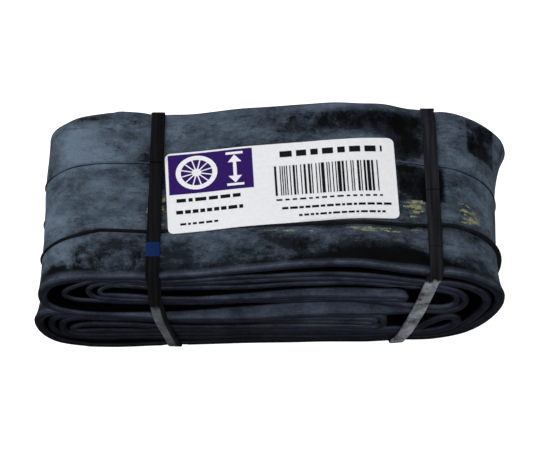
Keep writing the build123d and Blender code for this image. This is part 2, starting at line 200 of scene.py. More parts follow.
def fold_points(fold, where):
    """Control points (x, z) of a fold at one of the three places across the tube."""
    if where == "front":
        return list(fold["front"])
    leg_x, tip_x = fold[where]
    start_z = height(fold["start"], leg_x, where)
    end_z = height(fold["end"], leg_x, where)
    count = len(fold["front"])
    points = []
    for j in range(count):
        turn = math.pi * j / (count - 1)
        share = (1 - math.cos(turn)) / 2
        points.append((leg_x + (tip_x - leg_x) * math.sin(turn), start_z + (end_z - start_z) * share))
    return points


FOLD_BULGE = 0.35              # how much further forward the rim stands in a fold
STRAND_STEP = 5.5              # between control points along a strand

# Control points of the whole loop at the three places, with the front rim's reach and half thickness
control = {"front": [], "mid": [], "back": []}
reach, thick, owner = [], [], []
for k, name in enumerate(ROUTE):
    fold = FOLDS[name]
    after = FOLDS[ROUTE[(k + 1) % len(ROUTE)]]
    strand = fold["end"]
    count = len(fold["front"])
    ends = {}
    for where in control:
        points = fold_points(fold, where)
        control[where] += points
        ends[where] = (points[-1][0], fold_points(after, where)[0][0])
    start_y = curve_at(FRONT_Y[fold["start"]], fold["front"][0][0])
    end_y = curve_at(FRONT_Y[fold["end"]], fold["front"][-1][0])
    for j in range(count):
        share = j / (count - 1)
        bulge = math.sin(math.pi * share)
        reach.append(start_y + (end_y - start_y) * share + FOLD_BULGE * bulge)
        edge = rim_half(fold["start" if share < 0.5 else "end"], fold["front"][j][0])
        thick.append(edge + (fold["half"] - edge) * bulge ** 0.7)
        owner.append(name)
    steps = max(3, round(abs(ends["front"][1] - ends["front"][0]) / STRAND_STEP))
    for j in range(1, steps):
        for where in control:
            x0, x1 = ends[where]
            x = x0 + (x1 - x0) * j / steps
            control[where].append((x, height(strand, x, where)))
        x = ends["front"][0] + (ends["front"][1] - ends["front"][0]) * j / steps
        reach.append(curve_at(FRONT_Y[strand], x))
        thick.append(rim_half(strand, x))
        owner.append(strand)


# ---- the tube's surface
SPLIT = 6                      # path samples between two control points


def smooth_loop(points):
    """Closed Catmull-Rom curve through the points."""
    p = np.array(points, float)
    if p.ndim == 1:
        p = p[:, None]
    before, after, last = np.roll(p, 1, 0), np.roll(p, -1, 0), np.roll(p, -2, 0)
    out = []
    for j in range(SPLIT):
        t = j / SPLIT
        out.append(0.5 * (2 * p + (after - before) * t + (2 * before - 5 * p + 4 * after - last) * t ** 2
                          + (3 * p - before - 3 * after + last) * t ** 3))
    return np.stack(out, 1).reshape(-1, p.shape[1])


path = {where: smooth_loop(points) for where, points in control.items()}
reach_s = smooth_loop(reach)[:, 0]
thick_s = smooth_loop(thick)[:, 0]
owner_s = np.repeat(np.array(owner), SPLIT)
TOTAL = len(reach_s)
# A layer that stands out at the front lies further in at the back
back_s = HALF_DEPTH - 0.35 * (reach_s - HALF_DEPTH)

for k in range(TOTAL):
    # the back rims curve in towards the folds at both ends
    x = path["back"][k, 0]
    left_end = max(0.0, min(1.0, (-36 - x) / 12))
    right_end = max(0.0, min(1.0, (x - 40) / 12))
    back_s[k] -= 3.0 * left_end ** 0.8 + 1.6 * right_end

# The bands press the upper layers down where they cross
# x on top, x at the bottom, and the height where the band starts to slant
BANDS = {"band_left": (-27.2, -22.6, 22.7), "band_right": (37.6, 29.1, 30.8)}
PRESS = {"ao": 0.55, "AH_o": 0.5, "AH_i": 0.4, "AD_o": 0.3, "ai": 0.42, "bo": 0.3, "bi": 0.2, "ci": 0.1}
PRESS_ABOVE = 20               # only the upper part of a fold is pressed
for where, p in path.items():
    for k in range(TOTAL):
        deep = PRESS.get(owner_s[k], 0.0)
        if deep and p[k, 1] > PRESS_ABOVE:
            for top_x, _, _ in BANDS.values():
                p[k, 1] -= deep * math.exp(-((p[k, 0] - top_x) / 2.4) ** 2)


def wave(x, y, z):
    return noise.noise(Vector((x, y, z)))


# Small waves along each rim, different in each layer
for k in range(TOTAL):
    seed = 7.3 * ROUTE.index(owner_s[k]) if owner_s[k] in FOLDS else 3.1 * LEVEL[owner_s[k]]
    x = path["front"][k, 0]
    reach_s[k] += 0.22 * wave(x / 11, seed, 0.5)
    back_s[k] += 0.9 * wave(x / 16, seed, 9.5)
    path["front"][k, 1] += 0.07 * wave(x / 7, seed, 4.5)
    path["back"][k, 1] += 0.07 * wave(x / 7, seed, 14.5)


def weights(a):
    """Shares of front, middle and back at a, which runs from -1 to 1 across the tube."""
    edge = abs(a) ** 3.2
    return (edge, 1 - edge, 0.0) if a < 0 else (0.0, 1 - edge, edge)


def line_at(a):
    """The path at a, with its unit normals, which point out of the loop."""
    f, m, b = weights(a)
    p = f * path["front"] + m * path["mid"] + b * path["back"]
    t = np.roll(p, -1, 0) - np.roll(p, 1, 0)
    t /= np.maximum(np.linalg.norm(t, axis=1), 1e-6)[:, None]
    return p, np.stack([-t[:, 1], t[:, 0]], 1)


RIM_STEPS = 7                  # steps round a rim
ACROSS = 44                    # points across each face, closer together towards the rims
LAST = ACROSS - 1
columns = [math.sin(math.pi / 2 * (2 * j / LAST - 1)) for j in range(ACROSS)]
front_reach = reach_s - thick_s
back_half = np.clip(thick_s, 0.7, 1.1)
back_reach = back_s - back_half


def sheet_y(a):
    return a * (front_reach if a < 0 else back_reach)


def sheet_half(a):
    rim = thick_s if a < 0 else back_half
    return HALF_SHEET + (rim - HALF_SHEET) * abs(a) ** 7


dent = np.zeros((TOTAL, len(columns)))
for k in range(TOTAL):
    if owner_s[k] in ("ao", "AH_o", "AD_o"):
        for j, a in enumerate(columns):
            x = path["mid"][k, 0]
            z = path["mid"][k, 1]
            y = HALF_DEPTH * a
            soft = wave(x / 17, y / 12, z / 17) * 0.30
            fine = wave(x / 5, y / 7, z / 5 + 3) * 0.07
            dent[k, j] = (soft + fine) * (1 - abs(a) ** 8)

rings = []
for side in (1, -1):
    order = range(len(columns)) if side > 0 else range(len(columns) - 1, -1, -1)
    for j in order:
        a = columns[j]
        p, n = line_at(a)
        q = p + n * (side * sheet_half(a) + dent[:, j])[:, None]
        rings.append(np.stack([q[:, 0], sheet_y(a), q[:, 1]], 1))
    a = 1.0 if side > 0 else -1.0
    p, n = line_at(a)
    half, out = (back_half, back_reach) if side > 0 else (thick_s, front_reach)
    for j in range(1, RIM_STEPS):
        turn = math.pi * j / RIM_STEPS
        # the fold in the rubber is a little flatter than a half circle
        bulge = math.sin(turn) ** 0.8
        q = p + n * (side * math.cos(turn) * half)[:, None]
        rings.append(np.stack([q[:, 0], a * (out + half * bulge), q[:, 1]], 1))
grid = np.stack(rings, 1)

# Nothing reaches into the valve's space
VALVE_Z = 9.7
# x from, x to, radius
VALVE_ROOM = ((38.2, 31.1, 5.9), (31.1, 16.5, 4.2), (16.5, 9.9, 5.1), (9.9, 5.2, 3.8))
for high, low, radius in VALVE_ROOM:
    dy, dz = grid[..., 1], grid[..., 2] - VALVE_Z
    near = np.hypot(dy, dz)
    hit = (grid[..., 0] < high) & (grid[..., 0] > low) & (near < radius) & (near > 1e-6)
    grid[..., 1] = np.where(hit, dy * radius / np.maximum(near, 1e-6), grid[..., 1])
    grid[..., 2] = np.where(hit, VALVE_Z + dz * radius / np.maximum(near, 1e-6), grid[..., 2])

# Flat underneath, with a shallow dent where each band passes
floor_z = np.full(grid.shape[:2], 0.05)
for _, low_x, _ in BANDS.values():
    off = np.abs(grid[..., 0] - low_x)
    rise = np.clip(1 - (off - 1.9) / 2.0, 0, 1)
    floor_z = np.maximum(floor_z, 0.9 * rise * rise * (3 - 2 * rise))
soft_floor = floor_z + 0.025 * np.clip(grid[..., 2] - floor_z, None, 0)
grid[..., 2] = np.where(grid[..., 2] < floor_z, soft_floor, grid[..., 2])


def place(name, data):
    obj = bpy.data.objects.new(name, data)
    bpy.context.scene.collection.objects.link(obj)
    return obj


def mesh_object(name, verts, faces, smooth=True):
    """Mesh from points in mm."""
    mesh = bpy.data.meshes.new(name)
    mesh.from_pydata([tuple(float(c) * MM for c in v) for v in verts], [], faces)
    mesh.update()
    if smooth:
        mesh.polygons.foreach_set("use_smooth", [True] * len(mesh.polygons))
    return place(name, mesh)


def keep_edges_sharp(obj):
    obj.modifiers.new("edges", "EDGE_SPLIT").split_angle = math.radians(50)


def grid_faces(rows, across, rows_close=True, across_close=True):
    """Faces between rows of points. Rows that close join the last to the first, and so across."""
    faces = []
    for k in range(rows if rows_close else rows - 1):
        for j in range(across if across_close else across - 1):
            k2, j2 = (k + 1) % rows, (j + 1) % across
            faces.append((k * across + j, k * across + j2, k2 * across + j2, k2 * across + j))
    return faces


def loose_pieces(name, shapes, smooth=True):
    """Separate flat faces, each a list of points."""
    verts, faces = [], []
    for shape in shapes:
        faces.append(tuple(range(len(verts), len(verts) + len(shape))))
        verts += shape
    return mesh_object(name, verts, faces, smooth)


faces = grid_faces(TOTAL, grid.shape[1])
flat = grid.reshape(-1, 3)
tube = mesh_object("folded_tube", flat, faces)
tree = BVHTree.FromPolygons([tuple(v) for v in flat], faces)

# How open each point lies: 1 on the outside of the block, less towards the gaps between layers. The material
# paints shade where it is low.
outside = np.isin(owner_s, ("ao", "ho", "AH_o", "AD_o", "EH_o"))
bulges = [math.sin(math.pi * j / RIM_STEPS) ** 0.8 for j in range(1, RIM_STEPS)]
half_way = RIM_STEPS // 2
OUTER_EDGE_SHADE = 0.7               # painted shade: the outside is drawn darker next to its rims
outer_rim = [OUTER_EDGE_SHADE if j < half_way else b for j, b in enumerate(bulges)]
inner_rim = outer_rim[::-1]
buried = [0.0] * len(columns)
open_ring = np.array([1.0] * len(columns) + outer_rim + buried + inner_rim)
closed_ring = np.array(buried + bulges + buried + bulges)
# a layer that stands out in front of its neighbours shows some of its face
shown = np.clip((-grid[..., 1] - 23.9) / 1.0, 0, 0.78)
exposed = np.where(outside[:, None], open_ring, np.maximum(closed_ring, shown))


def mark_exposed(obj, values):
    layer = obj.data.attributes.new("exposed", "FLOAT", "POINT")
    layer.data.foreach_set("value", [float(value) for value in values])


mark_exposed(tube, exposed.reshape(-1))


def top_at(x, y):
    """Height of the block's top surface, in mm."""
    hit = tree.ray_cast(Vector((x, y, 80)), Vector((0, 0, -1)))
    return hit[0].z if hit[0] is not None else 0.0


# ---- moulded ribs along the tube
LABEL_L, LABEL_W, LABEL_R = 53.8, 22.9, 1.4
LABEL_X, LABEL_Y = 2.45, 1.15
LABEL_TURN = math.radians(3.0)
LABEL_ABOVE = 24               # the label lies above this height


def past_label(x, y):
    """How far a point lies outside the label, in mm; 0 under it."""
    c, s = math.cos(LABEL_TURN), math.sin(LABEL_TURN)
    u, v = (x - LABEL_X) * c + (y - LABEL_Y) * s, -(x - LABEL_X) * s + (y - LABEL_Y) * c
    return max(abs(u) - LABEL_L / 2, abs(v) - LABEL_W / 2, 0.0)


def on_outside(k, y):
    """Point and unit normal on the outer face, at path sample k and width y."""
    half = front_reach[k] if y < 0 else back_reach[k]
    a = max(-0.999, min(0.999, y / half))
    f = LAST * (math.asin(a) * 2 / math.pi + 1) / 2
    j = min(int(f), LAST - 1)
    t = f - j
    rows = (k - 1, k, (k + 1) % TOTAL)
    behind, here, ahead = (grid[row, j] * (1 - t) + grid[row, j + 1] * t for row in rows)
    n = np.cross(ahead - behind, grid[k, j + 1] - grid[k, j])
    return here, n / max(np.linalg.norm(n), 1e-9)


def between(x, pairs):
    return float(np.interp(x, *zip(*pairs)))


# Each rib's place across the tube and its height, along x, and its section (across, up)
RIBS = {
    "rib_back": dict(y=[(-54, 6.4), (-46, 8.0), (-40, 8.8), (-22, 9.0), (0, 8.2), (30, 7.6), (42, 6.2),
            (54, 5.7)],
        tall=[(-54, 1.0), (54, 1.0)],
        shape=[(-0.36, -0.12), (-0.26, 0.16), (-0.08, 0.27), (0.10, 0.26), (0.26, 0.14),
            (0.36, -0.12)]),
    "rib_front": dict(y=[(-54, -14.0), (-49, -12.4), (-40, -10.2), (-25, -10.5), (30, -10.4), (54, -10.2)],
        tall=[(-54, 0.5), (-30, 0.32), (-10, 0.6), (25, 1.1), (54, 1.15)],
        shape=[(-0.62, -0.15), (-0.66, 0.35), (-0.52, 0.86), (-0.26, 1.0), (-0.06, 0.82),
            (0.14, 0.35), (0.5, -0.12)]),
}
rib_objects = []
for rib_name, rib in RIBS.items():
    for run in (("AD_o", "ao", "AH_o"), ("EH_o",)):
        members = [k for k in range(TOTAL) if owner_s[k] in run]
        verts = []
        for step, k in enumerate(members):
            x = grid[k, ACROSS // 2, 0]
            y = between(x, rib["y"]) + 0.18 * wave(x / 9, 2.0, 5.0)
            here, n = on_outside(k, y)
            tall = between(x, rib["tall"]) * (1 + 0.16 * wave(x / 4, y, 1.0))
            tall *= max(0.0, min(1.0, (n[2] + 0.93) / 0.3))
            tall *= min(1.0, (step + 0.5) / 6, (len(members) - step - 0.5) / 6)
            if here[2] > LABEL_ABOVE:
                # the label presses the rib flat
                tall *= 0.1 + 0.9 * min(1.0, past_label(x, y) / 0.5)
            for across, up in rib["shape"]:
                verts.append(here + np.array([0, across, 0]) + n * (up * tall if up > 0 else up))
        rib_faces = grid_faces(len(members), len(rib["shape"]), False, False)
        rib_objects.append(mesh_object(f"{rib_name}_{run[0]}", verts, rib_faces))
        # painted shade: the tube's rubber draws the foot of the rib darker, more on its front side
        rib_exposure = [0.3 + 0.7 * min(1.0, max(0.0, up) * 3 + max(0.0, across)) for across, up in rib["shape"]]
        mark_exposed(rib_objects[-1], rib_exposure * len(members))

# ---- bands
BAND_WIDE, BAND_THICK = 3.1, 0.8
EDGE_R = 0.16                  # rounding of the band's edges
LAP_THICK = 0.5
# Where the end of a band laps over its start: from y, to y, and how high it lies
LAPS = {"band_left": ((22, 8.2, 0.42), (-1.0, -14, 0.3)), "band_right": ((21.5, -1.2, 0.42), (-9, -17, 0.28))}


def hull(points):
    """Convex hull of (y, z) points, going round once."""
    pts = sorted(set((round(float(y), 3), round(float(z), 3)) for y, z in points))

    def chain(seq):
        out = []
        for p in seq:
            while len(out) > 1 and ((out[-1][0] - out[-2][0]) * (p[1] - out[-2][1])
                                    - (out[-1][1] - out[-2][1]) * (p[0] - out[-2][0])) <= 0:
                out.pop()
            out.append(p)
        return out

    low, high = chain(pts), chain(pts[::-1])
    return low[:-1] + high[:-1]


def round_the_block(top_x, low_x, bend_z):
    """The band's middle line: tight round the block, as (x, y, z), with outward normals."""
    share = np.clip(flat[:, 2] / bend_z, 0, 1)
    slanted = low_x + (top_x - low_x) * share
    near = np.abs(flat[:, 0] - slanted) < 1.5
    ring = np.array(hull(flat[near][:, 1:]))
    closed = np.vstack([ring, ring[:1]])
    length = np.concatenate([[0], np.cumsum(np.hypot(*np.diff(closed, axis=0).T))])
    stations = np.linspace(0, length[-1], 241)[:-1]
    line = np.stack([np.interp(stations, length, closed[:, i]) for i in (0, 1)], 1)
    for _ in range(4):
        line = 0.5 * line + 0.25 * (np.roll(line, 1, 0) + np.roll(line, -1, 0))
    t = np.roll(line, -1, 0) - np.roll(line, 1, 0)
    t /= np.linalg.norm(t, axis=1)[:, None]
    n = np.stack([t[:, 1], -t[:, 0]], 1)
    line = line + n * (BAND_THICK / 2 + 0.04)
    x = low_x + (top_x - low_x) * np.clip(line[:, 1] / bend_z, 0, 1)
    return np.column_stack([x, line]), np.column_stack([np.zeros(len(n)), n])


def strap(name, middle, normal, width, thick, twist=None, closed=True):
    """A flat strap with rounded edges along a line. width and thick may vary along it."""
    count = len(middle)
    t = np.roll(middle, -1, 0) - np.roll(middle, 1, 0)
    if not closed:
        t[0], t[-1] = middle[1] - middle[0], middle[-1] - middle[-2]
    t /= np.linalg.norm(t, axis=1)[:, None]
    n = normal - t * np.sum(normal * t, 1)[:, None]
    n /= np.linalg.norm(n, axis=1)[:, None]
    w = np.cross(t, n)
    if twist is not None:
        c, s = np.cos(twist)[:, None], np.sin(twist)[:, None]
        w, n = w * c + n * s, n * c - w * s
    outline = []
    for cx, cz, start in ((1, 1, 0), (-1, 1, 90), (-1, -1, 180), (1, -1, 270)):
        for j in range(4):
            turn = math.radians(start + 30 * j)
            outline.append((cx, cz, EDGE_R * math.cos(turn), EDGE_R * math.sin(turn)))
    verts = []
    for k in range(count):
        for cx, cz, dx, dz in outline:
            across = cx * (width[k] / 2 - EDGE_R) + dx
            up = cz * (thick[k] / 2 - EDGE_R) + dz
            verts.append(middle[k] + w[k] * across + n[k] * up)
    wide = len(outline)
    # the outline runs the other way round from the tube's rings
    strap_faces = [(p, s, r, q) for p, q, r, s in grid_faces(count, wide, rows_close=closed)]
    if not closed:
        strap_faces.append(tuple(range(wide)))
        strap_faces.append(tuple(reversed(range((count - 1) * wide, count * wide))))
    obj = mesh_object(name, verts, strap_faces)
    keep_edges_sharp(obj)
    return obj


def lap(line, normal, start_y, end_y):
    """The part of a band's line over the top between two depths, from back to front."""
    keep = [k for k in range(len(line)) if normal[k][2] > 0.6 and end_y <= line[k][1] <= start_y]
    keep.sort(key=lambda k: -line[k][1])
    return line[keep], normal[keep]


band_objects = {}
for band_name, (top_x, low_x, bend_z) in BANDS.items():
    middle, normal = round_the_block(top_x, low_x, bend_z)
    count = len(middle)
    left = band_name == "band_left"
    # the line wanders a little on the top
    wander = np.array([0.018 * (p[1] - 4) if n[2] > 0.5 else 0.0 for p, n in zip(middle, normal)])
    if left:
        middle[:, 0] += wander + 0.3
    else:
        middle[:, 0] -= 1.3 * wander
    front = np.clip(-normal[:, 1], 0, 1)
    down = np.clip((24 - middle[:, 2]) / 22, 0, 1) * front
    ripple = np.array([wave(0, p[1] / 5, p[2] / 5) for p in middle])
    twist = np.radians((-13 if left else 16) * down * np.clip(middle[:, 2] / 6, 0, 1)) + 0.03 * ripple
    width = BAND_WIDE + 0.12 * ripple - 0.15 * down
    thick = np.full(count, BAND_THICK) + 0.04 * ripple
    pieces = [strap(band_name, middle, normal, width, thick, twist)]
    for start_y, end_y, lift in LAPS[band_name]:
        seg, seg_n = lap(middle, normal, start_y, end_y)
        pieces.append(strap(f"{band_name}_lap_{abs(int(end_y))}", seg + seg_n * lift, seg_n,
                            np.full(len(seg), BAND_WIDE + 0.16), np.full(len(seg), LAP_THICK), closed=False))
    band_objects[band_name] = pieces

# ---- size label
PAPER_LIFT, PAPER_THICK = 0.2, 0.13


def label_xy(u, v):
    """Point on the block for a place on the label, measured from its centre."""
    c, s = math.cos(LABEL_TURN), math.sin(LABEL_TURN)
    return LABEL_X + u * c - v * s, LABEL_Y + u * s + v * c


def on_label(u, v, lift):
    x, y = label_xy(u, v)
    return (x, y, label_height(u, v) + lift)


# The paper is stiffer than the rubber, so it follows the block's shape smoothly
NU, NV = 75, 35
us = np.linspace(-LABEL_L / 2, LABEL_L / 2, NU)
vs = np.linspace(-LABEL_W / 2, LABEL_W / 2, NV)
bed = np.array([[top_at(*label_xy(u, v)) for v in vs] for u in us])
stiff = bed.copy()
for _ in range(30):
    inner = stiff.copy()
    inner[1:-1, :] = 0.5 * stiff[1:-1, :] + 0.25 * (stiff[:-2, :] + stiff[2:, :])
    stiff = inner
    inner = stiff.copy()
    inner[:, 1:-1] = 0.5 * stiff[:, 1:-1] + 0.25 * (stiff[:, :-2] + stiff[:, 2:])
    stiff = np.maximum(inner, bed + 0.02)


def label_height(u, v):
    """Height of the paper's top at a place on the label."""
    fu = (u + LABEL_L / 2) / LABEL_L * (NU - 1)
    fv = (v + LABEL_W / 2) / LABEL_W * (NV - 1)
    i, j = min(max(int(fu), 0), NU - 2), min(max(int(fv), 0), NV - 2)
    a, b = min(max(fu - i, 0), 1), min(max(fv - j, 0), 1)
    return ((stiff[i, j] * (1 - a) + stiff[i + 1, j] * a) * (1 - b)
            + (stiff[i, j + 1] * (1 - a) + stiff[i + 1, j + 1] * a) * b) + PAPER_LIFT


def in_corner(u, v):
    """Pull a point in a corner square back inside the rounded outline."""
    cu, cv = LABEL_L / 2 - LABEL_R, LABEL_W / 2 - LABEL_R
    du, dv = abs(u) - cu, abs(v) - cv
    if du > 0 and dv > 0:
        far = math.hypot(du, dv)
        k = max(du, dv) / far
        u, v = math.copysign(cu + du * k, u), math.copysign(cv + dv * k, v)
    return u, v


def grid_lines(half, step, radius):
    """Lines across the label, closer together in the rounded corners."""
    inner = list(np.linspace(-half + radius, half - radius, int((2 * half) / step)))
    ends = [half - radius + radius * t for t in (0.35, 0.65, 0.85, 1.0)]
    return [-e for e in reversed(ends)] + inner + ends


lu = grid_lines(LABEL_L / 2, 1.0, LABEL_R)
lv = grid_lines(LABEL_W / 2, 1.0, LABEL_R)
verts, label_faces = [], []
for layer in (0.0, -PAPER_THICK):
    for u in lu:
        for v in lv:
            pu, pv = in_corner(u, v)
            verts.append(on_label(pu, pv, layer))
na, nb = len(lu), len(lv)
under = na * nb
for p, q, r, s in grid_faces(na, nb, False, False):
    label_faces += [(p, s, r, q), (under + p, under + q, under + r, under + s)]
edge = ([(i, 0) for i in range(na)] + [(na - 1, j) for j in range(1, nb)]
        + [(i, nb - 1) for i in range(na - 2, -1, -1)] + [(0, j) for j in range(nb - 2, 0, -1)])
for (i, j), (i2, j2) in zip(edge, edge[1:] + edge[:1]):
    p, q = i * nb + j, i2 * nb + j2
    label_faces.append((p, under + p, under + q, q))
label = mesh_object("label_paper_sheet", verts, label_faces)
keep_edges_sharp(label)

# ---- what is printed on it
INK_LIFT = 0.04


def ink(name, shapes, lift):
    """Flat printed shapes, each a list of (u, v) corners, laid on the label."""
    return loose_pieces(name, [[on_label(u, v, lift) for u, v in shape] for shape in shapes], smooth=False)


def bar(u0, v0, u1, v1, step=1.5):
    """A rectangle cut into pieces small enough to follow the paper."""
    nu = max(1, math.ceil(abs(u1 - u0) / step))
    nv = max(1, math.ceil(abs(v1 - v0) / step))
    out = []
    for i in range(nu):
        for j in range(nv):
            a0, a1 = u0 + (u1 - u0) * i / nu, u0 + (u1 - u0) * (i + 1) / nu
            b0, b1 = v0 + (v1 - v0) * j / nv, v0 + (v1 - v0) * (j + 1) / nv
            out.append([(a0, b0), (a1, b0), (a1, b1), (a0, b1)])
    return out


def stroke(points, wide):
    """A stroke of even width along points, as pieces with mitred joints."""
    sides = []
    for k, (x, y) in enumerate(points):
        ax, ay = points[max(k - 1, 0)]
        bx, by = points[min(k + 1, len(points) - 1)]
        far = math.hypot(bx - ax, by - ay)
        nx, ny = -(by - ay) / far * wide / 2, (bx - ax) / far * wide / 2
        sides.append(((x + nx, y + ny), (x - nx, y - ny)))
    return [[a[1], b[1], b[0], a[0]] for a, b in zip(sides, sides[1:])]


def ring(u, v, outer, inner):
    """A flat ring, as pieces."""
    steps = 32
    turns = [2 * math.pi * j / steps for j in range(steps + 1)]
    rim = [(math.cos(turn), math.sin(turn)) for turn in turns]
    return [[(u + outer * a, v + outer * b), (u + outer * c, v + outer * d),
             (u + inner * c, v + inner * d), (u + inner * a, v + inner * b)]
            for (a, b), (c, d) in zip(rim, rim[1:])]


# A coloured block with a plain picture: a spoked wheel, and an arrow between two ticks for its size
purple = ink("print_block", bar(-26.2, -0.6, -6.4, 10.9, 0.8), INK_LIFT)
WHEEL_U, WHEEL_V = -19.6, 5.3
SPOKES = 12
picture = ring(WHEEL_U, WHEEL_V, 4.9, 3.7) + ring(WHEEL_U, WHEEL_V, 1.1, 0.0)
for k in range(SPOKES):
    turn = math.radians(360 // SPOKES * k + 15)
    spoke = [(WHEEL_U + far * math.cos(turn), WHEEL_V + far * math.sin(turn)) for far in (0.9, 2.4, 3.9)]
    picture += stroke(spoke, 0.3)
picture += bar(-12.6, 9.5, -8.6, 10.2) + bar(-12.6, 0.4, -8.6, 1.1) + bar(-11.0, 3.0, -10.2, 7.6)
picture += [[(-12.2, 7.3), (-9.0, 7.3), (-10.6, 9.4)], [(-9.0, 3.3), (-12.2, 3.3), (-10.6, 1.2)]]
symbol = ink("print_picture", picture, 2 * INK_LIFT)

# A symbol of random bars, and lines of dashes in place of print: nothing here can be read
BARS, BARS_START, BARS_WIDE = 30, -1.5, 25.0
marks = []
widths = [(random.choice((1, 1, 1, 2, 3)), random.choice((1, 1, 2, 2, 3))) for _ in range(BARS)]
unit_wide = BARS_WIDE / sum(dark + gap for dark, gap in widths)
cursor = BARS_START
for dark, gap in widths:
    marks += bar(cursor, -3.6, cursor + dark * unit_wide, 5.0)
    cursor += (dark + gap) * unit_wide


def dashes(u0, u1, v, tall, longest, gap):
    """A line of dashes of uneven length."""
    out = []
    u = u0
    while u < u1:
        end = min(u + longest * random.uniform(0.35, 1.0), u1)
        out += bar(u, v, end, v + tall)
        u = end + gap
    return out


DASH_LINES = (
    (0.0, 24.0, 7.5, 1.7, 3.4, 1.0), (-1.4, 23.4, -5.1, 0.5, 1.6, 0.7), (-24.6, -9.6, -2.9, 1.0, 2.6, 0.6),
    (-24.8, -9.2, -6.2, 1.0, 2.2, 0.45), (-24.0, -15.2, -9.4, 0.6, 1.8, 0.45),
    (-0.2, 25.6, -7.6, 0.65, 1.9, 0.4), (3.6, 24.0, -9.8, 0.6, 1.7, 0.4),
)
for line in DASH_LINES:
    marks += dashes(*line)
black_print = ink("print_marks", marks, INK_LIFT)

print_objects = [purple, symbol, black_print]

# ---- worn yellow paint on the rubber
PAINT_LIFT = 0.03


def worn(name, strokes, wide):
    """Painted strokes that follow the rubber."""
    pieces = []
    for points in strokes:
        fine = []
        for (x0, y0), (x1, y1) in zip(points, points[1:]):
            steps = max(1, int(math.hypot(x1 - x0, y1 - y0) / 0.4))
            fine += [(x0 + (x1 - x0) * j / steps, y0 + (y1 - y0) * j / steps) for j in range(steps)]
        fine.append(points[-1])
        for shape in stroke(fine, wide):
            # two pieces side by side, so that the stroke follows the rubber
            (ax, ay), (bx, by), (cx, cy), (dx, dy) = shape
            m0, m1 = ((ax + bx) / 2, (ay + by) / 2), ((cx + dx) / 2, (cy + dy) / 2)
            for quad in ([(ax, ay), m0, m1, (dx, dy)], [m0, (bx, by), (cx, cy), m1]):
                pieces.append([(x, y, top_at(x, y) + PAINT_LIFT) for x, y in quad])
    return loose_pieces(name, pieces)


def smears(x0, x1, y0, y1, count, longest):
    """Short streaks of wear over a patch. They all run the same way, so they form no characters."""
    out = []
    for _ in range(count):
        long = longest * random.uniform(0.4, 1.0)
        x, y = random.uniform(x0, x1 - long), random.uniform(y0, y1)
        out.append([(x, y), (x + long / 2, y + random.uniform(-0.12, 0.12)), (x + long, y)])
    return out


worn_marks = [
    worn("worn_paint_right", smears(43.0, 49.0, -8.8, -3.0, 17, 2.6)
         + smears(30.4, 36.0, -8.0, -3.4, 13, 3.4), 0.5),
    worn("worn_paint_left", smears(-29.4, -27.6, -7.0, -4.0, 5, 1.4)
         + smears(-25.8, -24.6, -9.8, -1.2, 11, 1.1), 0.5),
    worn("worn_paint_front", smears(-2, 38, -12.7, -11.8, 20, 3.8), 0.35),
]


# ---- materials
def screen(r, g, b):
    """Linear colour from 0-255 screen values."""
    def linear(c):
        return ((c / 255 + 0.055) / 1.055) ** 2.4 if c > 10 else c / 255 / 12.92

    return linear(r), linear(g), linear(b), 1.0


